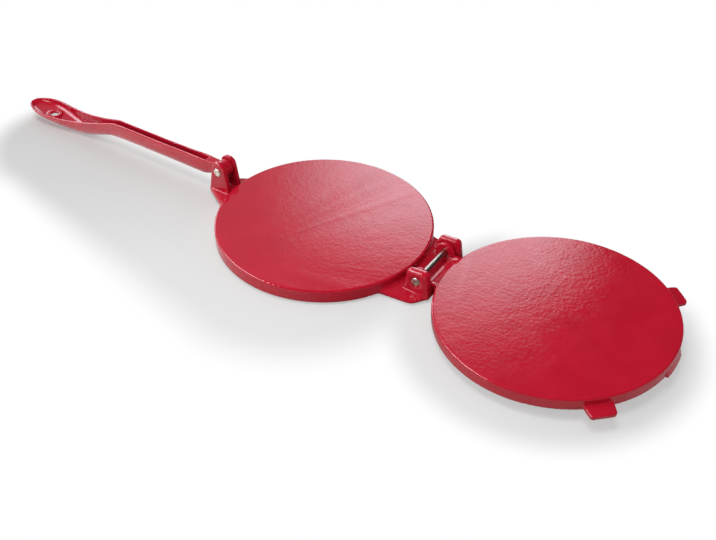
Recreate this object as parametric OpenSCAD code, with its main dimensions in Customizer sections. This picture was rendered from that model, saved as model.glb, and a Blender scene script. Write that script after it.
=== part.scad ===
/*
Tortilla press, opened out flat on a table: a round base plate, an upper
plate turned over on its hinge, and a lever handle laid back.
Millimetres. X runs from the lever to the upper plate, +Z is up. The origin
is on the table under the centre of the base plate. The drawn pose is the
open one: the upper plate rests on its pressing pad and the grip just
clears the table.
*/

/* [Plates] */
// Diameter of the base plate's pressing face
base_d = 200; // [180:1:230]
// How much wider the upper plate is than the base plate
lid_extra_d = 2; // [0:0.5:4]
// Height of the base plate's rim
base_rim_h = 12.9; // [11:0.1:16]
// Height of the upper plate's rim
lid_rim_h = 11.2; // [10:0.1:14]
// Thickness of the plate skin behind each pressing face
skin_t = 5; // [4:0.5:7]
// Thickness of the rim wall round each plate
rim_t = 5; // [4:0.5:8]
// Radius on the edges of the rims
edge_r = 1.2; // [0.6:0.1:2]
// Radius of the hollow between the base plate's rim and the flange
rim_cove = 2.6; // [1.5:0.1:4]
// Number of ribs under each plate
rib_n = 12; // [8:2:16]
// Thickness of a rib
rib_t = 3.2; // [2.5:0.1:5]
// Height of the five feet below the base plate's rim
foot_h = 2.1; // [1:0.1:5]
// Diameter of a foot
foot_d = 16; // [10:1:24]
// Gap between the pressing faces when the press is closed
plate_gap = 1; // [0.5:0.1:2]

/* [Hinge] */
// Distance from the base plate's edge to the hinge pin
hinge_out = 14.8; // [14:0.1:18]
// Height of the hinge pin above the base plate's face
hinge_up = 1.2; // [0.8:0.1:2]
// How far short of 180 degrees the upper plate lies when it is open
open_tilt = 2.2; // [1:0.1:4]
// Diameter of the hinge pin
hinge_pin_d = 5.6; // [5:0.1:7]
// Distance between the inner faces of the base plate's hinge ears
hinge_slot_w = 46.8; // [40:0.2:60]
// Thickness of a hinge ear
hinge_ear_t = 7.6; // [5:0.1:9]
// Thickness of a cheek on the upper plate
cheek_t = 4; // [3:0.1:6]
// Radius of the hollow at the foot of a hinge ear
ear_cove = 5; // [2:0.5:6]
// Radius of a cheek round the pin
cheek_r = 9; // [8:0.1:9.5]
// Gap between a cheek and the ear beside it
cheek_gap = 0.4; // [0.2:0.1:0.8]

/* [Clevis] */
// Distance from the base plate's edge to the lever pin
lever_out = 16.8; // [16:0.1:22]
// Height of the lever pin above the base plate's face
lever_up = 11.8; // [11:0.1:16]
// Diameter of the lever pin
lever_pin_d = 6; // [5:0.1:7]
// Width of the slot between the two ears
clevis_slot_w = 10.6; // [9:0.1:13]
// Thickness of an ear
clevis_ear_t = 4.7; // [4:0.1:7]
// Radius of the rounded top of an ear
clevis_ear_r = 8.4; // [8:0.1:10]
// Radius of the ear's outer edge
clevis_round = 2.6; // [1:0.1:3]

/* [Lever] */
// Length of the lever from its pin to the tip of the grip
lever_len = 264; // [240:1:300]
// Gap on each side between the lever and the clevis
lever_gap = 0.4; // [0.2:0.1:0.8]
// Thickness of the lever's walls
lever_wall = 2.2; // [2:0.1:3.5]
// Diameter of the hanging hole
hang_hole_d = 8.4; // [6:0.2:10]
// Radius of the thickened ring round the hanging hole
hang_boss_r = 8.2; // [7:0.1:9]

/* [Lifting tabs] */
// Angle of each tab from the far end of the upper plate
tab_angle = 46.4; // [35:0.2:55]
// Width of a tab at its root
tab_root_w = 24.8; // [18:0.2:30]
// Width of a tab at its end
tab_end_w = 21.6; // [14:0.2:26]
// How far a tab stands out from the rim
tab_out = 12; // [8:0.5:16]
// Thickness of a tab
tab_t = 3.7; // [3:0.1:3.7]
// Depth of a tab's upper side below the pressing face
tab_drop = 6.1; // [5:0.1:6.1]

// How far the nose at the far end stands out from the rim
nose_out = 2.2; // [0.5:0.1:3]

/* [Pins] */
// Diameter of the heads on both pins
head_d = 9; // [8:0.1:9.4]
// Height of a pin's head
head_h = 1.3; // [0.8:0.1:1.6]
// Running clearance on the diameter between a pin and a moving bore
run_fit = 0.16; // [0.06:0.02:0.2]

/* [Hidden] */

RED = "#b3152b";
STEEL = "#c9c6c2";

base_r = base_d / 2;
lid_r = base_r + lid_extra_d / 2;
face_z = foot_h + base_rim_h;
hinge_x = base_r + hinge_out;
hinge_z = face_z + hinge_up;
lid_face = hinge_up - plate_gap;
ear_in = hinge_slot_w / 2;
ear_out = ear_in + hinge_ear_t;
cheek_out = ear_in - cheek_gap;
cheek_in = cheek_out - cheek_t;
lever_x = -base_r - lever_out;
lever_z = face_z + lever_up;
clevis_in = clevis_slot_w / 2;
clevis_out = clevis_in + clevis_ear_t;
lever_half = clevis_in - lever_gap;
web_top = foot_h + 4.6;
pad_top = foot_h + 2.8;
flange_top = foot_h + 5.4;
far = 3 * base_r;

// A disc lying from z = 0 up to h, with both outer edges rounded
module round_disc(r, h, e)
  rotate_extrude($fn = 180) {
    square([r - e, h]);
    translate([0, e]) square([r, h - 2 * e]);
    for (z = [e, h - e]) translate([r - e, z]) intersection() {
      circle(r = e, $fn = 32);
      translate([0, -e]) square(2 * e);
    }
  }

// A small puck for hulls, its axis along Y, rounded on the side at +Y only
module puck(r, t, e)
  rotate([-90, 0, 0]) rotate_extrude($fn = 40) {
    square([r - e, t]);
    square([r, t - e]);
    translate([r - e, t - e]) intersection() {
      circle(r = e, $fn = 20);
      square(e);
    }
  }

// Mirrored pair about the middle plane
module both_sides() {
  children();
  mirror([0, 1, 0]) children();
}

// The mean of a list of points
function middle(ring, i = 0, sum = [0, 0, 0]) =
  i == len(ring) ? sum / len(ring) : middle(ring, i + 1, sum + ring[i]);

// A body skinned over rings of points that all have the same length, each end
// closed by a fan round its middle
module skin(rings) {
  n = len(rings[0]);
  m = len(rings);
  a = m * n;
  polyhedron(
    points = concat([for (ring = rings) for (p = ring) p],
      [middle(rings[0]), middle(rings[m - 1])]),
    faces = concat(
      [for (k = [0:n - 1]) [k, (k + 1) % n, a]],
      [for (k = [0:n - 1]) [(m - 1) * n + (k + 1) % n, (m - 1) * n + k, a + 1]],
      [for (i = [0:m - 2]) for (k = [0:n - 1])
        [i * n + k, (i + 1) * n + k, i * n + (k + 1) % n]],
      [for (i = [0:m - 2]) for (k = [0:n - 1])
        [i * n + (k + 1) % n, (i + 1) * n + k, (i + 1) * n + (k + 1) % n]]),
    convexity = 8);
}

// Smooth step from 0 to 1 between a and b
function ease(x, a, b) =
  let (t = max(0, min(1, (x - a) / (b - a)))) t * t * (3 - 2 * t);

// Smooth value at x through rows of [x, value, ...], taking the given column
function slope(rows, i, c) =
  let (a = rows[max(i - 1, 0)], b = rows[min(i + 1, len(rows) - 1)])
  (b[c] - a[c]) / (b[0] - a[0]);
function curve(rows, x, c, i = 0) =
  i < len(rows) - 2 && x > rows[i + 1][0] ? curve(rows, x, c, i + 1) :
  let (
    a = rows[i], b = rows[i + 1], h = b[0] - a[0],
    t = max(0, min(1, (x - a[0]) / h))
  )
  a[c] * (2 * t * t * t - 3 * t * t + 1) + b[c] * (3 * t * t - 2 * t * t * t)
  + h * slope(rows, i, c) * (t * t * t - 2 * t * t + t)
  + h * slope(rows, i + 1, c) * (t * t * t - t * t);

// The open space under a plate's skin, with its ribs left standing
module rib_space(r, depth, rib_depth) {
  difference() {
    round_disc(r - rim_t, depth, 1);
    translate([0, 0, depth - rib_depth])
      for (i = [0:rib_n / 2 - 1])
        rotate(i * 360 / rib_n) translate([-r, -rib_t / 2, 0])
          cube([2 * r, rib_t, depth]);
    translate([0, 0, depth - rib_depth]) cylinder(r = 20, h = depth, $fn = 96);
  }
}

// One upright ear of the clevis, on the +Y side
module clevis_ear() {
  foot_l = clevis_ear_r + 3.4;
  translate([lever_x + 0.6, clevis_in, 0]) hull() {
    translate([0, 0, lever_z + 2.3]) puck(clevis_ear_r, clevis_ear_t, clevis_round);
    for (s = [-1, 1]) translate([s * (foot_l - 3), 0, foot_h + 3])
      puck(3, clevis_ear_t, clevis_round / 2);
  }
}

// The flared web that carries the clevis
module clevis_web() {
  hull() {
    for (s = [-1, 1]) {
      translate([-base_r - 26.5, s * 7.6, foot_h]) round_puck(2.6, web_top - foot_h);
      translate([-base_r + 8, s * 28.5, foot_h]) round_puck(2.6, web_top - foot_h);
    }
  }
}

// A short upright cylinder with a rounded top edge
module round_puck(r, h)
  rotate_extrude($fn = 32) {
    square([r - 1.4, h]);
    square([r, h - 1.4]);
    translate([r - 1.4, h - 1.4]) intersection() {
      circle(r = 1.4, $fn = 20);
      square(1.4);
    }
  }

// The flange round the foot of the hinge ears
module hinge_flange() {
  hull() {
    for (s = [-1, 1]) {
      translate([hinge_x - 2.2, s * (ear_out + 2), foot_h])
        round_puck(10.2, pad_top - foot_h);
      translate([hinge_x + 3.4, s * (ear_out - 5.4), foot_h])
        round_puck(9.6, pad_top - foot_h);
      translate([base_r - 13, s * (ear_out + 12), foot_h])
        round_puck(3, pad_top - foot_h + 1.6);
      translate([base_r - 8, s * ear_out, foot_h])
        round_puck(3, flange_top - foot_h);
    }
  }
}

// One hinge ear, on the +Y side, its top higher on the outer side
module hinge_ear() {
  translate([hinge_x, ear_in, 0]) hull() {
    translate([-5.8, 0, hinge_z + 7.2]) puck(4, hinge_ear_t, 2.2);
    translate([7.6, 0, hinge_z + 8.6]) puck(4, hinge_ear_t, 2.2);
    for (x = [-8.8, 11]) translate([x, 0, foot_h + 3]) puck(3, hinge_ear_t + 0.4, 1.4);
  }
}

// Hollow of radius r between a wall and the floor it stands on: the wall is the
// plane Y = 0, the floor Z = 0, and it runs l along X with rounded ends
module cove(l, r) {
  rotate([90, 0, 90]) translate([0, 0, -l / 2]) linear_extrude(l) cove_shape(r);
  for (s = [-1, 1]) translate([s * l / 2, 0, 0]) intersection() {
    rotate_extrude($fn = 64) cove_shape(r);
    translate([s > 0 ? 0 : -2 * r, 0, -r]) cube([2 * r, 2 * r, 3 * r]);
  }
}
module cove_shape(r) difference() {
  translate([-0.4, -0.6]) square([r + 0.4, r + 0.6]);
  translate([r, r]) circle(r = r, $fn = 64);
  translate([0, -r]) square([2 * r, r - 0.3]);
}

// The coves at the feet of the ears, and round the rim over the flange
module coves() {
  both_sides() {
    translate([hinge_x + 0.6, ear_out, pad_top]) cove(16, ear_cove);
    translate([lever_x + 0.6, clevis_out, web_top]) cove(2 * clevis_ear_r, 2.2);
  }
  intersection() {
    translate([0, 0, flange_top - 1]) rotate_extrude($fn = 180)
      translate([base_r, 0]) cove_shape(rim_cove);
    translate([base_r - 14, -ear_out - 13, 0]) cube([20, 2 * ear_out + 26, face_z - 1.5]);
  }
}

// One foot at the middle and four near the rim
module feet() {
  children();
  for (a = [45:90:315]) rotate(a) translate([0.8 * base_r, 0, 0]) children();
}

module base_plate() {
  color(RED) difference() {
    union() {
      difference() {
        union() {
          translate([0, 0, foot_h]) round_disc(base_r, base_rim_h, edge_r);
          clevis_web();
          hinge_flange();
          coves();
        }
        translate([0, 0, foot_h - 1])
          rib_space(base_r, base_rim_h - skin_t + 1, base_rim_h - skin_t - 2);
      }
      feet() cylinder(d = foot_d, h = face_z - skin_t / 2, $fn = 64);
      both_sides() clevis_ear();
      both_sides() hinge_ear();
    }
    translate([lever_x, 0, lever_z]) rotate([90, 0, 0]) {
      cylinder(d = lever_pin_d, h = far, center = true, $fn = 64);
      for (s = [0, 1]) mirror([0, 0, s]) translate([0, 0, clevis_out - 0.5])
        cylinder(d = head_d + 0.4, h = far, $fn = 64);
    }
    translate([hinge_x, 0, hinge_z]) rotate([90, 0, 0]) {
      cylinder(d = hinge_pin_d, h = far, center = true, $fn = 64);
      for (s = [0, 1]) mirror([0, 0, s]) translate([0, 0, ear_out - head_h - 0.4])
        cylinder(d = head_d + 1, h = far, $fn = 64);
    }
  }
}

// Places children in the upper plate's own frame: origin on the hinge pin,
// X outward along the plate, pressing face up
module on_hinge()
  translate([hinge_x, 0, hinge_z]) rotate([0, -open_tilt, 0]) children();

// Depth at which the table lies below the pressing face, at x from the hinge
function table_depth(x) = (hinge_z + x * sin(open_tilt)) / cos(open_tilt) + lid_face;

// Pressing spine on the back of the upper plate: rows of
// [x from the plate's centre, half width at the crest, depth of the crest]
pad_in = 0.58 * lid_r;
pad_out = 0.80 * lid_r;
spine_rows = [
  [-0.93 * lid_r, 9, lid_rim_h - 0.6],
  [-0.60 * lid_r, 8, lid_rim_h + 2.5],
  [-0.10 * lid_r, 8, lid_rim_h + 6],
  [pad_in - 18, 9, table_depth(hinge_x + pad_in) - 1.6],
  [pad_in, 11, table_depth(hinge_x + pad_in)],
  [pad_out, 11, table_depth(hinge_x + pad_out)],
  [pad_out + 9, 12, lid_rim_h + 3],
  [lid_r - 5, 14, lid_rim_h],
  [lid_r - 2, 14, lid_rim_h],
];
spine_root = 15;

function spine_ring(x, half, depth) =
  let (root = min(spine_root, half + (depth - skin_t) * 0.5), e = 2)
  [for (p = [
    [-root, skin_t - 1], [-half, depth - e], [-half + 0.6, depth - 0.6], [-half + e, depth],
    [half - e, depth], [half - 0.6, depth - 0.6], [half, depth - e], [root, skin_t - 1],
  ]) [x, p[0], -p[1]]];

module spine() {
  x0 = spine_rows[0][0];
  x1 = spine_rows[len(spine_rows) - 1][0];
  steps = 64;
  translate([hinge_x, 0, lid_face]) skin([for (i = [0:steps])
    let (x = x0 + (x1 - x0) * i / steps)
    spine_ring(x, curve(spine_rows, x, 1),
      min(curve(spine_rows, x, 2), table_depth(hinge_x + x)))]);
}

// The nose at the far end of the upper plate, where its rim flares to the foot
module nose()
  intersection() {
    translate([0, 0, -lid_rim_h])
      cylinder(r1 = lid_r + nose_out, r2 = lid_r - 0.4, h = lid_rim_h - 2, $fn = 180);
    translate([lid_r - 4.5, -15, -lid_rim_h - 1]) cube([20, 30, lid_rim_h]);
  }

// One lifting tab, lying along +X from the plate's centre
module tab()
  translate([0, 0, -tab_drop - tab_t]) linear_extrude(tab_t) hull() {
    translate([lid_r - 6, -tab_root_w / 2]) square([1, tab_root_w]);
    for (s = [-1, 1]) translate([lid_r + tab_out - 3.4, s * (tab_end_w / 2 - 3.4)])
      circle(r = 3.4, $fn = 40);
  }

// One cheek of the upper plate's hinge lug, on the +Y side
module cheek() {
  lug_top = lid_face - 1.6;
  translate([0, cheek_out, 0]) rotate([90, 0, 0]) linear_extrude(cheek_t) {
    circle(r = cheek_r, $fn = 96);
    polygon([
      [0, cheek_r], [0, -cheek_r], [hinge_out + 8, -cheek_r],
      [hinge_out + 8, lug_top], [cheek_r, lug_top],
    ]);
  }
}

// The bar between the two cheeks, its top rising from a ledge by the pin to
// the rim of the plate
module lug() {
  ledge = lid_face - 3.8;
  translate([0, cheek_out - 1, 0]) rotate([90, 0, 0])
    linear_extrude(2 * cheek_out - 2) polygon([
      [4.8, -cheek_r], [4.8, ledge], [8.4, ledge],
      [hinge_out + 2, lid_face - 1.6], [hinge_out + 2, -cheek_r],
    ]);
}

module upper_plate() {
  color(RED) on_hinge() difference() {
    union() {
      translate([hinge_x, 0, lid_face]) {
        difference() {
          mirror([0, 0, 1]) round_disc(lid_r, lid_rim_h, edge_r);
          translate([0, 0, -lid_rim_h - 1])
            rib_space(lid_r, lid_rim_h - skin_t + 1, lid_rim_h - skin_t - 1.6);
        }
        for (s = [-1, 1]) rotate(s * tab_angle) tab();
        nose();
      }
      spine();
      both_sides() cheek();
      lug();
    }
    rotate([90, 0, 0])
      cylinder(d = hinge_pin_d + run_fit, h = far, center = true, $fn = 64);
  }
}

// Lever in its own frame: origin on the pin, X outward, hollow side up.
// Rows of [x, half width at the top, height of the top, height of the bottom]
lever_rows = [
  [2, lever_half - 0.3, 4.7, -8.4],
  [12, lever_half - 0.2, 4.7, -9.8],
  [24, lever_half + 0.5, 4.7, -13.4],
  [72, 5.5, 3.6, -14.0],
  [130, 5.5, 3.2, -14.6],
  [139, 5.5, 2.8, -15.0],
  [147, 5.8, 0.6, -15.4],
  [160, 7.0, -3.2, -19.2],
  [176, 9.0, -7.4, -24.2],
  [195, 11.0, -10.9, -26.4],
  [213, 13.6, -12.8, -25.2],
  [231, 15.3, -13.1, -22.9],
  [247, 15.5, -12.6, -21.2],
  [lever_len, 15.0, -12.0, -19.0],
];
tip_l = 30;

function tip_scale(x) =
  let (t = max(0, (x - (lever_len - tip_l)) / tip_l)) sqrt(max(0, 1 - t * t));

// Depth of the hollow, none at the pin and none at the very tip
function hollow(x, top, bottom) =
  (top - bottom - lever_wall) * ease(x, 19, 25)
  * (1 - ease(x, lever_len - 2.4 * lever_wall, lever_len - lever_wall * 0.8));

// Share of the lever's height that its rounded underside takes
function belly(x) = 0.45 + 0.27 * ease(x, 140, 175);

// Half of a ring, from the middle of the hollow out over the rim to the bottom:
// the underside is a quarter of an ellipse, b wide and c high
function half_ring(w, top, bottom, deep, share) =
  let (
    u = min(1, w / 5),
    wb = w - 0.3 * u,
    b = 0.9 * wb,
    c = share * (top - bottom),
    q = max(w - lever_wall, w * 0.4),
    f = 0.6 * q,
    g = min(0.8 * c, deep * 0.6)
  )
  concat(
    [[0, top - deep]],
    [for (a = [0:22.5:90]) [q - 0.3 * u - f + f * sin(a), top - deep + g * (1 - cos(a))]],
    [[q - 0.1 * u, top - min(0.7, deep * 0.3)], [q + 0.5 * u, top]],
    [[w - 0.8 * u, top], [w - 0.2 * u, top - 0.25 * u], [w, top - 0.9 * u]],
    [for (a = [0:15:90]) [wb - b + b * cos(a), bottom + c - c * sin(a)]],
    [[0, bottom]]);

function lever_ring(x) =
  let (
    k = tip_scale(x),
    w = curve(lever_rows, x, 1) * max(k, 0.08),
    t0 = curve(lever_rows, x, 2),
    b0 = curve(lever_rows, x, 3),
    mid = (t0 + b0) / 2 + 1.5,
    top = mid + (t0 - mid) * max(pow(k, 0.35), 0.3),
    bottom = mid + (b0 - mid) * max(pow(k, 0.7), 0.2),
    h = half_ring(w, top, bottom, hollow(x, top, bottom), belly(x)),
    n = len(h)
  )
  [for (p = concat([for (i = [0:n - 1]) [-h[i][0], h[i][1]]], [for (i = [n - 2:-1:1]) h[i]]))
    [x, p[0], p[1]]];

// Stations along the lever, close together where the form turns
lever_stations = concat(
  [2, 9, 16, 19, 20.5, 22, 23.5, 25, 32],
  [for (x = [44:14:128]) x],
  [for (x = [133:3:148]) x],
  [for (x = [153:6:lever_len - tip_l - 2]) x],
  [for (a = [0:9:72]) lever_len - tip_l + tip_l * sin(a)],
  [for (a = [76:4:88]) lever_len - tip_l + tip_l * sin(a)]);

module lever_handle() {
  hang_x = lever_len - 31;
  floor_z = curve(lever_rows, hang_x, 3) + lever_wall;
  color(RED) translate([lever_x, 0, lever_z]) rotate(180) difference() {
    union() {
      skin([for (x = lever_stations) lever_ring(x)]);
      rotate([90, 0, 0]) cylinder(r = 7.8, h = 2 * lever_half, center = true, $fn = 96);
      translate([hang_x, 0, floor_z - 1]) cylinder(r = hang_boss_r, h = 2.2, $fn = 64);
    }
    translate([hang_x, 0, 0]) cylinder(d = hang_hole_d, h = far, center = true, $fn = 64);
    rotate([90, 0, 0]) cylinder(d = lever_pin_d + run_fit, h = far, center = true, $fn = 64);
  }
}

// A riveted pin along Y with a dimpled head at each end
module riveted_pin(d, half) {
  rotate([90, 0, 0]) difference() {
    union() {
      cylinder(d = d, h = 2 * half, center = true, $fn = 64);
      for (s = [0, 1]) mirror([0, 0, s]) translate([0, 0, half - head_h]) {
        cylinder(d = head_d, h = head_h - 0.5, $fn = 64);
        translate([0, 0, head_h - 0.5])
          cylinder(d1 = head_d, d2 = head_d - 1.4, h = 0.5, $fn = 64);
      }
    }
    for (s = [0, 1]) mirror([0, 0, s]) translate([0, 0, half - 0.6])
      cylinder(d1 = 2.2, d2 = 4.2, h = 0.7, $fn = 48);
  }
}

module hinge_pin()
  color(STEEL) translate([hinge_x, 0, hinge_z]) riveted_pin(hinge_pin_d, ear_out - 0.4);

module lever_pin()
  color(STEEL) translate([lever_x, 0, lever_z]) riveted_pin(lever_pin_d, clevis_out + 0.8);

base_plate();
upper_plate();
lever_handle();
hinge_pin();
lever_pin();
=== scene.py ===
"""Looks of the tortilla press: glossy red coated castings and bright steel pins."""
import math

import bmesh
import bpy
import numpy as np
from mathutils import Matrix, Vector


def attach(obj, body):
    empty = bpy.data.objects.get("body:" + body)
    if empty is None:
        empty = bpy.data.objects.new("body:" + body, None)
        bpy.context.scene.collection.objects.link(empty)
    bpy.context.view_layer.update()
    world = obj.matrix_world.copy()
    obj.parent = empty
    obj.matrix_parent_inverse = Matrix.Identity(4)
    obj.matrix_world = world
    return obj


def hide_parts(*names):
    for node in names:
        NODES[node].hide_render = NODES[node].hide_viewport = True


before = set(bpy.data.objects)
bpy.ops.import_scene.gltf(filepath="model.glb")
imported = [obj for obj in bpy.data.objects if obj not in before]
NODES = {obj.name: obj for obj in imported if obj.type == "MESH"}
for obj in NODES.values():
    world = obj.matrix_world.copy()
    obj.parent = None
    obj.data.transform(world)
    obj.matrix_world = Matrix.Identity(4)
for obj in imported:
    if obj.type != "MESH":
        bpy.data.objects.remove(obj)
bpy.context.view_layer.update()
scene = bpy.context.scene
MM = 0.001
DEG = 180 / math.pi
WHITE = (1, 1, 1, 1)


def add_object(name, data):
    """A new object in the scene."""
    obj = bpy.data.objects.new(name, data)
    scene.collection.objects.link(obj)
    return obj


# Camera
IMAGE_W = 716                    # the photograph's width in pixels
CAM_AZ, CAM_EL, CAM_ROLL = (math.radians(a) for a in (32.992, 39.844, 0.867))
CAM_TARGET = Vector((54.973, -27.258, 0.0)) * MM
CAM_DIST = 891.488 * MM
CAM_FOCAL = 1011.34              # in pixels of the image
CAM_CLIP = (0.05, 50)
SENSOR_W = 36


def add_camera():
    """A camera at the photograph's angle, looking at CAM_TARGET."""
    back = Vector((math.sin(CAM_AZ) * math.cos(CAM_EL),
                   -math.cos(CAM_AZ) * math.cos(CAM_EL), math.sin(CAM_EL)))
    right = Vector((math.cos(CAM_AZ), math.sin(CAM_AZ), 0))
    up = back.cross(right)
    c, s = math.cos(CAM_ROLL), math.sin(CAM_ROLL)
    right, up = right * c + up * s, up * c - right * s
    data = bpy.data.cameras.new("camera")
    cam = add_object("camera", data)
    rot = Matrix((right, up, back)).transposed()
    cam.matrix_world = Matrix.Translation(CAM_TARGET + back * CAM_DIST) @ rot.to_4x4()
    data.sensor_width = SENSOR_W
    data.lens = CAM_FOCAL * SENSOR_W / IMAGE_W
    data.clip_start, data.clip_end = CAM_CLIP
    scene.camera = cam


# Node helpers
class Graph:
    """Short calls for building a node tree."""

    def __init__(self, tree):
        self.tree = tree
        tree.nodes.clear()

    def node(self, kind, inputs=None, **props):
        n = self.tree.nodes.new(kind)
        for k, v in props.items():
            setattr(n, k, v)
        for k, v in (inputs or {}).items():
            if isinstance(v, bpy.types.NodeSocket):
                self.tree.links.new(v, n.inputs[k])
            else:
                n.inputs[k].default_value = v
        return n

    def math(self, op, a, b=0.0, c=0.0, clamp=False):
        return self.node("ShaderNodeMath", {0: a, 1: b, 2: c},
                         operation=op, use_clamp=clamp).outputs[0]

    def step(self, x, low, high, out0=0.0, out1=1.0):
        """Smooth ramp of x from out0 at low to out1 at high."""
        return self.node("ShaderNodeMapRange", {
            "Value": x, "From Min": low, "From Max": high, "To Min": out0, "To Max": out1},
            interpolation_type="SMOOTHSTEP").outputs[0]

    def mix(self, fac, a, b):
        """Colour a where fac is 0, b where it is 1."""
        return self.node("ShaderNodeMix", {0: fac, 6: a, 7: b}, data_type="RGBA").outputs[2]

    def blend(self, fac, a, b):
        """Shader a where fac is 0, b where it is 1."""
        return self.node("ShaderNodeMixShader", {
            0: fac, 1: a.outputs[0], 2: b.outputs[0]})

    def noise(self, vec, scale, detail=2.0, rough=0.5):
        return self.node("ShaderNodeTexNoise", {
            "Vector": vec, "Scale": scale, "Detail": detail, "Roughness": rough}).outputs[0]

    def far_from(self, x, y, x0, y0):
        """Distance of (x, y) from (x0, y0)."""
        dx, dy = self.math("SUBTRACT", x, x0), self.math("SUBTRACT", y, y0)
        square = self.math("MULTIPLY_ADD", dx, dx, self.math("MULTIPLY", dy, dy))
        return self.math("SQRT", square)


def new_material(name):
    """An empty material and the graph of its nodes."""
    mat = bpy.data.materials.new(name)
    mat.use_nodes = True
    return mat, Graph(mat.node_tree)


def srgb(r, g, b):
    """8-bit display colour as linear RGBA."""
    f = lambda v: v / 12.92 if v <= 0.04045 else ((v + 0.055) / 1.055) ** 2.4
    return (f(r / 255), f(g / 255), f(b / 255), 1.0)


# World: azimuths and elevations in degrees, azimuths from +Y towards +X
FILL = 0.5                       # the light on the diffuse surfaces
FILL_LEFT = 1.0                  # the share by which it grows to the far left
GLOSS_FILL = 0.03                # the least light that the gloss sees
GLOSS_TINT = (0.87, 1.0, 1.1, 1.0)
PANEL_LIGHT = 4.3
PANEL_LEFT = (-41.5, -28.5)      # azimuths over which the panel comes up
PANEL_RIGHT = (-17.8, -23.2)     # and over which it ends
PANEL_TOP = (44, 34.5)           # elevations over which it ends at the top
PANEL_CORNER = 36.4              # elevation above which its right edge leans to the left,
PANEL_LEAN, PANEL_LEAN_MAX = 0.95, 4.4   # by this much a degree, up to so many degrees
WALL = (-20, -44, 0.0, 0.45)     # the wall beside it: azimuths, and its light at each
WALL_LEFT = (-50, -90, 0.0, 0.45)        # more light further along it
WALL_END = (-125, -105)
WALL_TOP = (75, 45)
GLINTS = ((-112, 40, 18, 8.0), (-62, 18, 11, 5.0))   # lamps: azimuth, elevation, size, light
GLINT_EDGE = (1.3, 0.7)          # where a lamp starts and where it is full, in sizes


def direction(az, el):
    """Unit vector towards an azimuth and an elevation."""
    a, e = math.radians(az), math.radians(el)
    return Vector((math.sin(a) * math.cos(e), math.cos(a) * math.cos(e), math.sin(e)))


def build_world():
    """White where the camera sees it, soft fill for the diffuse light, and for the gloss a
    tall pale panel behind the object with a dim wall to its left and two lamps."""
    world = bpy.data.worlds.new("studio")
    scene.world = world
    world.use_nodes = True
    g = Graph(world.node_tree)
    path = g.node("ShaderNodeLightPath").outputs
    way = g.node("ShaderNodeTexCoord").outputs["Generated"]
    x, y, z = g.node("ShaderNodeSeparateXYZ", {0: way}).outputs
    az = g.math("MULTIPLY", g.math("ARCTAN2", x, y), DEG)
    el = g.math("MULTIPLY", g.math("ARCSINE", z), DEG)
    gloss = g.math("MULTIPLY_ADD", panel_share(g, az, el), PANEL_LIGHT,
                   g.math("ADD", wall_light(g, az, el), GLOSS_FILL))
    for az0, el0, size, light in GLINTS:
        toward = g.node("ShaderNodeVectorMath", {0: way, 1: direction(az0, el0)},
                        operation="DOT_PRODUCT").outputs["Value"]
        start, full = (math.cos(edge * size / DEG) for edge in GLINT_EDGE)
        gloss = g.math("ADD", gloss, g.step(toward, start, full, 0.0, light))
    fill = g.math("MULTIPLY_ADD", x, -FILL * FILL_LEFT, FILL)
    gloss = g.node("ShaderNodeBackground", {"Color": GLOSS_TINT, "Strength": gloss})
    fill = g.node("ShaderNodeBackground", {"Color": WHITE, "Strength": fill})
    white = g.node("ShaderNodeBackground", {"Color": WHITE, "Strength": 1.0})
    lit = g.blend(path["Is Glossy Ray"], fill, gloss)
    seen = g.blend(path["Is Camera Ray"], lit, white)
    g.node("ShaderNodeOutputWorld", {"Surface": seen.outputs[0]})


def panel_share(g, az, el):
    """1 on the pale panel, 0 off it."""
    lean = g.math("MULTIPLY", g.math("SUBTRACT", el, PANEL_CORNER), PANEL_LEAN)
    lean = g.math("MINIMUM", g.math("MAXIMUM", lean, 0.0), PANEL_LEAN_MAX)
    panel = g.math("MULTIPLY", g.step(az, *PANEL_LEFT),
                   g.step(g.math("ADD", az, lean), *PANEL_RIGHT))
    return g.math("MULTIPLY", panel, g.step(el, *PANEL_TOP))


def wall_light(g, az, el):
    """Light of the dim wall."""
    wall = g.math("ADD", g.step(az, *WALL), g.step(az, *WALL_LEFT))
    wall = g.math("MULTIPLY", wall, g.step(el, *WALL_TOP))
    return g.math("MULTIPLY", wall, g.step(az, *WALL_END))


# Lamps
LAMP_AIM = (0.1, 0, 0)


def softbox(name, az, el, dist, side, radiance, shine=True, aim=LAMP_AIM):
    """A square area lamp at a direction and distance, of a given radiance."""
    data = bpy.data.lights.new(name, "AREA")
    data.shape = "RECTANGLE"
    data.size = data.size_y = side
    data.energy = math.pi * side * side * radiance
    lamp = add_object(name, data)
    lamp.visible_glossy = shine
    d = direction(az, el)
    lamp.location = Vector(aim) + d * dist
    lamp.rotation_euler = d.to_track_quat("Z", "Y").to_euler()


# Floor: places in metres, chosen for the rest pose
FLOOR_HALF = 6
FLOOR_TONE_AND_SHADE = (0.57, 0.71)        # its tone by the lever's grip and by the hinge, darker by the grip as painted shade,
TONE_SHADE_X = (-0.3, 0.1)             # at these x
FLOOR_BOUNCE = 0.5               # its tone as the red surfaces are lit by it
FLOOR_PAINTED_REFLECTION = (1.35, 0.6)        # its painted reflection: how bright the red surfaces mirror it, left and right,
REFLECTION_X = (-0.3, -0.05)          # at these x
NOOK = (0.10, -0.07)             # the floor by the hinge, with painted shade in that reflection:
NOOK_REACH, NOOK_SHADE = (0.02, 0.09), 0.3     # distances over which it ends, and its share
LIFT = 0.6                       # how far painted light lightens the shadows beside the plates,
LIFT_GREY = 0.77                 # towards this,
LIFT_X = (-0.13, -0.06)          # and the x over which that starts
PATCH_TIP = (-0.30, -0.025, 0.085)   # x, y and reach of the grey floor under the lever,
PATCH_BASE = (0.0, -0.05, 0.128)     # the same under the base plate,
PATCH_LID = (0.226, -0.005)          # and its middle under the upper plate
PATCH_FADE = (0.72, 1.15)        # shares of the reach over which the grey ends,
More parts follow.
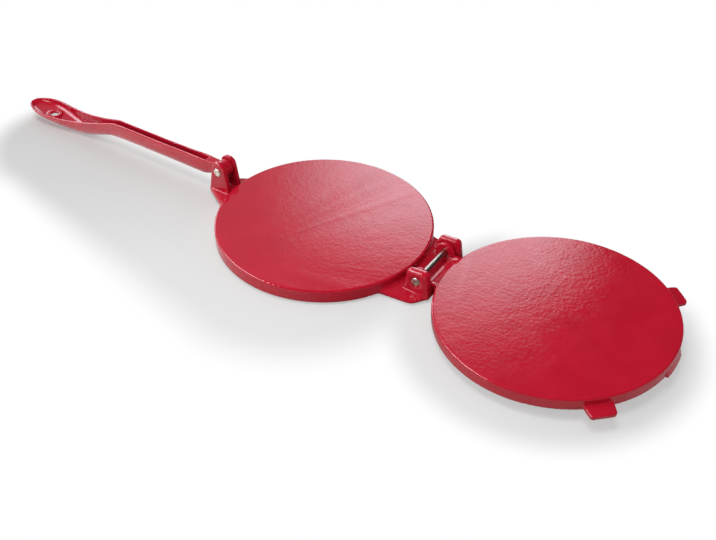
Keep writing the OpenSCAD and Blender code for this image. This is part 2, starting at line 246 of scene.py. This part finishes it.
PATCH_BACK = (-0.02, 0.03)       # and y over which it ends behind
LID_FADE = (0.110, 0.142)        # distances over which it ends round the upper plate,
LID_BACK = (0.05, 0.11)          # and y over which it ends behind


def build_floor():
    """Pale floor. Away from the object the camera sees plain white; next to it the floor keeps
    its own tone, with painted shade by the grip, and the object's shadow, lightened by painted
    light beside the plates."""
    mesh = bpy.data.meshes.new("floor")
    bm = bmesh.new()
    bmesh.ops.create_grid(bm, x_segments=1, y_segments=1, size=FLOOR_HALF)
    bm.to_mesh(mesh)
    bm.free()
    floor = add_object("floor", mesh)
    mat, g = new_material("floor")
    path = g.node("ShaderNodeLightPath").outputs
    place = g.node("ShaderNodeNewGeometry").outputs["Position"]
    x, y = g.node("ShaderNodeSeparateXYZ", {0: place}).outputs[:2]
    # painted shade: the floor's tone darker towards the lever's grip
    tone = g.step(x, *TONE_SHADE_X, *FLOOR_TONE_AND_SHADE)
    # painted reflection of the floor on the red surfaces, brighter towards the lever, with
    # painted shade by the hinge
    painted_reflection = g.math("MULTIPLY", g.step(x, *REFLECTION_X, *FLOOR_PAINTED_REFLECTION),
                   g.step(g.far_from(x, y, *NOOK), *NOOK_REACH, NOOK_SHADE, 1.0))
    for ray, other in (("Is Glossy Ray", painted_reflection), ("Is Diffuse Ray", FLOOR_BOUNCE)):
        tone = g.math("MULTIPLY_ADD", g.math("SUBTRACT", other, tone), path[ray], tone)
    tone = g.node("ShaderNodeCombineColor", {0: tone, 1: tone, 2: tone}).outputs[0]
    seen = g.node("ShaderNodeBsdfDiffuse", {"Color": tone})
    # painted light: an emission lightens the shadows beside the plates
    lift = g.step(x, *LIFT_X, 0.0, LIFT)
    for share, light in ((lift, LIFT_GREY), (floor_mask(g, x, y), 1.0)):
        pale = g.node("ShaderNodeEmission", {"Color": WHITE, "Strength": light})
        seen = g.blend(g.math("MULTIPLY", path["Is Camera Ray"], share), seen, pale)
    g.node("ShaderNodeOutputMaterial", {"Surface": seen.outputs[0]})
    mesh.materials.append(mat)


def floor_mask(g, x, y):
    """1 where the floor has faded to white, 0 next to the object, by place on the floor."""
    along = g.math("DIVIDE", g.math("SUBTRACT", x, PATCH_TIP[0]), PATCH_BASE[0] - PATCH_TIP[0],
                   clamp=True)
    mid_x, mid_y, reach = (g.math("MULTIPLY_ADD", along, base - tip, tip)
                           for tip, base in zip(PATCH_TIP, PATCH_BASE))
    share = g.math("DIVIDE", g.far_from(x, y, mid_x, mid_y), reach)
    left = g.math("MAXIMUM", g.step(share, *PATCH_FADE), g.step(y, *PATCH_BACK))
    right = g.math("MAXIMUM", g.step(g.far_from(x, y, *PATCH_LID), *LID_FADE),
                   g.step(y, *LID_BACK))
    return g.math("MULTIPLY", left, right)


# Materials: colours as displayed, noise scales per metre, heights in metres
NOISE_SPAN = (0.3, 0.7)          # between these nearly all of a noise's values lie
RED_TONES = (srgb(177, 19, 41), srgb(184, 21, 44))
RED_CLOUDS = 38.0
RED_WORN, WORN_SHARE = srgb(206, 60, 76), 0.35
WORN_EDGE = (0.53, 0.62)         # pointiness over which an edge starts to wear
WORN_CLOUDS, WORN_SPAN = 240.0, (0.45, 0.62)
WORN_ROUGH = 0.08
# painted shade: a dark red mixed into the hollows, where the surface curves inwards
RED_CORNER_SHADE, CORNER_SHADE_SHARE = srgb(120, 8, 24), 0.3
CORNER_SHADE_EDGE = (0.47, 0.40)       # pointiness over which painted shade darkens a corner
PEEL, SWELL = 360.0, 100.0
PEEL_HEIGHT = 0.00006
RED_ROUGH, RED_ROUGH_CLOUDS = (0.09, 0.13), 60.0
COAT_IOR = 1.5
STEEL_TONES = (srgb(186, 170, 158), srgb(222, 212, 202))
GRAIN = (260, 9, 260)            # drawn along Y, as the pins lie
GRAIN_SPAN = (0.35, 0.65)
GRAIN_BUMP, GRAIN_HEIGHT = 0.1, 0.00002
STEEL_ROUGH, STEEL_ROUGH_CLOUDS = (0.34, 0.44), 500.0


def red_coating():
    """Glossy coating over a cast surface: fine orange peel, worn edges, and painted shade in the
    corners.
    """
    mat, g = new_material("red_coating")
    obj = g.node("ShaderNodeTexCoord").outputs["Object"]
    pointed = g.node("ShaderNodeNewGeometry").outputs["Pointiness"]
    colour = g.mix(g.step(g.noise(obj, RED_CLOUDS, 3.0), *NOISE_SPAN), *RED_TONES)
    worn = g.math("MULTIPLY", g.step(pointed, *WORN_EDGE),
                  g.step(g.noise(obj, WORN_CLOUDS, 4.0), *WORN_SPAN))
    colour = g.mix(g.math("MULTIPLY", worn, WORN_SHARE), colour, RED_WORN)
    # painted shade in the corners and coves
    colour = g.mix(g.step(pointed, *CORNER_SHADE_EDGE, 0.0, CORNER_SHADE_SHARE), colour, RED_CORNER_SHADE)
    height = g.math("ADD", g.noise(obj, SWELL, 1.0, 0.4), g.noise(obj, PEEL, 1.0, 0.4))
    bump = g.node("ShaderNodeBump", {"Strength": 1.0, "Distance": PEEL_HEIGHT, "Height": height})
    rough = g.step(g.noise(obj, RED_ROUGH_CLOUDS, 3.0), *NOISE_SPAN, *RED_ROUGH)
    rough = g.math("MULTIPLY_ADD", worn, WORN_ROUGH, rough)
    bsdf = g.node("ShaderNodeBsdfPrincipled", {
        "Base Color": colour, "Roughness": rough, "IOR": COAT_IOR, "Normal": bump.outputs[0]})
    g.node("ShaderNodeOutputMaterial", {"Surface": bsdf.outputs[0]})
    return mat


def bright_steel():
    """Turned and riveted steel, lightly brushed."""
    mat, g = new_material("bright_steel")
    obj = g.node("ShaderNodeTexCoord").outputs["Object"]
    line = g.node("ShaderNodeMapping", {"Vector": obj, "Scale": GRAIN}).outputs[0]
    grain = g.noise(line, 1.0)
    bump = g.node("ShaderNodeBump", {
        "Strength": GRAIN_BUMP, "Distance": GRAIN_HEIGHT, "Height": grain})
    rough = g.step(g.noise(obj, STEEL_ROUGH_CLOUDS), *NOISE_SPAN, *STEEL_ROUGH)
    colour = g.mix(g.step(grain, *GRAIN_SPAN), *STEEL_TONES)
    bsdf = g.node("ShaderNodeBsdfPrincipled", {
        "Base Color": colour, "Metallic": 1.0, "Roughness": rough, "Normal": bump.outputs[0]})
    g.node("ShaderNodeOutputMaterial", {"Surface": bsdf.outputs[0]})
    return mat


def paint(obj, mat):
    """The whole object in one material."""
    obj.data.materials.clear()
    obj.data.materials.append(mat)
    for p in obj.data.polygons:
        p.material_index = 0


# Castings
WELD_MM = 0.01                   # vertices closer than this are one
SKIN_MM = 0.6                    # grain of the new skin
MELT_PASSES, MELT_FACTOR = 8, 0.5
KEEP = 0.2                       # the share of the skin's faces that stays
SOFT_FADE = 3
SOFT_BOXES = (                   # the two hinge ears: corners in mm, rounds of melting
    (((103, -45, 8), (130, -20, 40)), 45),
    (((103, 20, 8), (130, 45, 40)), 30),
)
SHANK_X = (24, 72, 130, 139, 147, 160)          # mm from the lever pin
SHANK_TOP = (4.7, 3.6, 3.2, 2.8, 0.6, -3.2)     # its height over the pin there
SHANK_BOTTOM = (-13.4, -14, -14.6, -15, -15.4, -19.2)
SHANK_DRAW = (0.2, 0.25)                        # how far it draws in above and below,
SHANK_CURVE = (2.5, 2)                          # with these powers of the distance
SHANK_WIDEST = 0.55                             # from this share of its height
SHANK_STARTS, SHANK_ENDS = (22, 45), (122, 150)  # mm from the pin over which it fades


def coordinates(mesh):
    """The mesh's vertices as rows of x, y, z."""
    co = np.empty(len(mesh.vertices) * 3)
    mesh.vertices.foreach_get("co", co)
    return co.reshape(-1, 3)


def move_to(mesh, co):
    """The mesh's vertices put at rows of x, y, z."""
    mesh.vertices.foreach_set("co", co.ravel())
    mesh.update()


def shade_smooth(mesh):
    mesh.polygons.foreach_set("use_smooth", [True] * len(mesh.polygons))


def baked(obj):
    """The object with its modifiers applied to a mesh of its own."""
    bpy.context.view_layer.update()
    deps = bpy.context.evaluated_depsgraph_get()
    mesh = bpy.data.meshes.new_from_object(obj.evaluated_get(deps))
    obj.modifiers.clear()
    obj.data = mesh
    return obj


def casting(node, body):
    """A soft-edged casting grown over the CAD solid: its edges melt as coated metal's do."""
    obj = add_object(node + "_cast", NODES[node].data.copy())
    weld = obj.modifiers.new("weld", "WELD")
    weld.merge_threshold = WELD_MM * MM
    skin = obj.modifiers.new("skin", "REMESH")
    skin.mode = "VOXEL"
    skin.voxel_size = SKIN_MM * MM
    melt = obj.modifiers.new("melt", "SMOOTH")
    melt.factor, melt.iterations = MELT_FACTOR, MELT_PASSES
    baked(obj)
    if node == "base_plate":
        for box, rounds in SOFT_BOXES:
            soften(obj.data, *box, rounds)
    thin = obj.modifiers.new("thin", "DECIMATE")
    thin.ratio = KEEP
    baked(obj)
    if node == "lever_handle":
        round_shank(obj.data)
    shade_smooth(obj.data)
    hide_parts(node)
    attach(obj, body)
    return obj


def soften(mesh, low, high, rounds):
    """More melting inside a box given in mm, fading out over its last SOFT_FADE mm."""
    co = coordinates(mesh)
    ends = np.empty(len(mesh.edges) * 2, dtype=np.int32)
    mesh.edges.foreach_get("vertices", ends)
    a, b = ends.reshape(-1, 2).T
    depth = np.minimum(co / MM - np.array(low), np.array(high) - co / MM).min(axis=1)
    weight = np.clip(depth / SOFT_FADE, 0, 1)[:, None] * MELT_FACTOR
    inside = (weight[a, 0] > 0) | (weight[b, 0] > 0)
    a, b = a[inside], b[inside]
    count = np.bincount(a, minlength=len(co)) + np.bincount(b, minlength=len(co))
    count = np.maximum(count, 1)
    for _ in range(rounds):
        mean = np.column_stack([
            (np.bincount(a, co[b, i], len(co)) + np.bincount(b, co[a, i], len(co))) / count
            for i in range(3)])
        co += weight * (mean - co)
    move_to(mesh, co)


def round_shank(mesh):
    """The lever's shank drawn in towards its lips and its underside, so its sides swell."""
    pin_low, pin_high = box_of(NODES["lever_pin"])
    pin = np.array((pin_low + pin_high) / 2)
    co = coordinates(mesh)
    x = (pin[0] - co[:, 0]) / MM
    z = (co[:, 2] - pin[2]) / MM
    top, bottom = (np.interp(x, SHANK_X, row) for row in (SHANK_TOP, SHANK_BOTTOM))
    share = np.clip((z - bottom) / (top - bottom), 0, 1)
    above = np.clip((share - SHANK_WIDEST) / (1 - SHANK_WIDEST), 0, 1) ** SHANK_CURVE[0]
    below = np.clip((SHANK_WIDEST - share) / SHANK_WIDEST, 0, 1) ** SHANK_CURVE[1]
    fade = ease(x, *SHANK_STARTS) * (1 - ease(x, *SHANK_ENDS))
    co[:, 1] *= 1 - fade * (SHANK_DRAW[0] * above + SHANK_DRAW[1] * below)
    move_to(mesh, co)


def ease(x, low, high):
    """Smooth step of an array from 0 at low to 1 at high."""
    t = np.clip((x - low) / (high - low), 0, 1)
    return t * t * (3 - 2 * t)


def box_of(obj):
    """Lowest and highest corner of an object, in the world."""
    pts = [obj.matrix_world @ v.co for v in obj.data.vertices]
    return (Vector(min(p[i] for p in pts) for i in range(3)),
            Vector(max(p[i] for p in pts) for i in range(3)))


# Pins: sizes in mm
PIN_SIDES = 72
PIN_CREASE = math.radians(40)
PIN_HEAD_H = 1.3
PIN_UNDER = 0.06                 # how much smaller a head is at its underside
PIN_RADII = {"hinge_pin": (2.8, 4.45), "lever_pin": (3.0, 4.2)}    # shaft and head
# a hammered, dimpled head: depth below the end of the pin, and radius
PIN_FACE = ((0.42, 0.3), (0.5, 0.9), (0.3, 1.5), (0.04, 2.0), (0.02, 2.6))
# and its rounded edge: depth, and distance inside the head's radius
PIN_EDGE = ((0.12, 1.3), (0.36, 0.5), (0.7, 0.1), (1.0, 0))


def pin_profile(half, shaft, head):
    """(y, radius) pairs of a riveted pin, from its half length, shaft and head radius."""
    end = [(half - depth, r) for depth, r in PIN_FACE]
    end += [(half - depth, head - inside) for depth, inside in PIN_EDGE]
    end += [(half - PIN_HEAD_H, head - PIN_UNDER), (half - PIN_HEAD_H, shaft)]
    end.reverse()
    return [(-y, r) for y, r in reversed(end)] + end


def turned_pin(node, body):
    """A pin along Y, lathed about the CAD pin's own axis."""
    low, high = box_of(NODES[node])
    mid = (low + high) / 2
    bm = bmesh.new()
    rings = []
    for y, r in pin_profile((high.y - low.y) / 2 / MM, *PIN_RADII[node]):
        turns = (2 * math.pi * k / PIN_SIDES for k in range(PIN_SIDES))
        rings.append([bm.verts.new((mid.x + r * MM * math.cos(t), mid.y + y * MM,
                                    mid.z + r * MM * math.sin(t))) for t in turns])
    for a, b in zip(rings, rings[1:]):
        for k in range(PIN_SIDES):
            n = (k + 1) % PIN_SIDES
            bm.faces.new((a[k], a[n], b[n], b[k]))
    bm.faces.new(rings[0][::-1])
    bm.faces.new(rings[-1])
    bmesh.ops.recalc_face_normals(bm, faces=bm.faces)
    mesh = bpy.data.meshes.new(node + "_turned")
    bm.to_mesh(mesh)
    bm.free()
    obj = add_object(node + "_turned", mesh)
    shade_smooth(mesh)
    mesh.set_sharp_from_angle(angle=PIN_CREASE)
    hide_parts(node)
    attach(obj, body)
    return obj


# The scene
add_camera()
build_world()
softbox("top_box", 180, 77, dist=1.5, side=0.5, radiance=12.0, shine=False)
softbox("right_box", 88, 13, dist=2.5, side=0.8, radiance=6.5, shine=False)
softbox("key_box", -155, 35, dist=0.8, side=0.32, radiance=7.0, aim=(-0.05, 0, 0))
build_floor()

RED, STEEL = red_coating(), bright_steel()
for name, node in NODES.items():
    paint(node, STEEL if name.endswith("_pin") else RED)
for node, body in (("base_plate", "base"), ("upper_plate", "upper"), ("lever_handle", "lever")):
    paint(casting(node, body), RED)
for node, body in (("hinge_pin", "base"), ("lever_pin", "base")):
    paint(turned_pin(node, body), STEEL)

scene.view_settings.view_transform = "Standard"
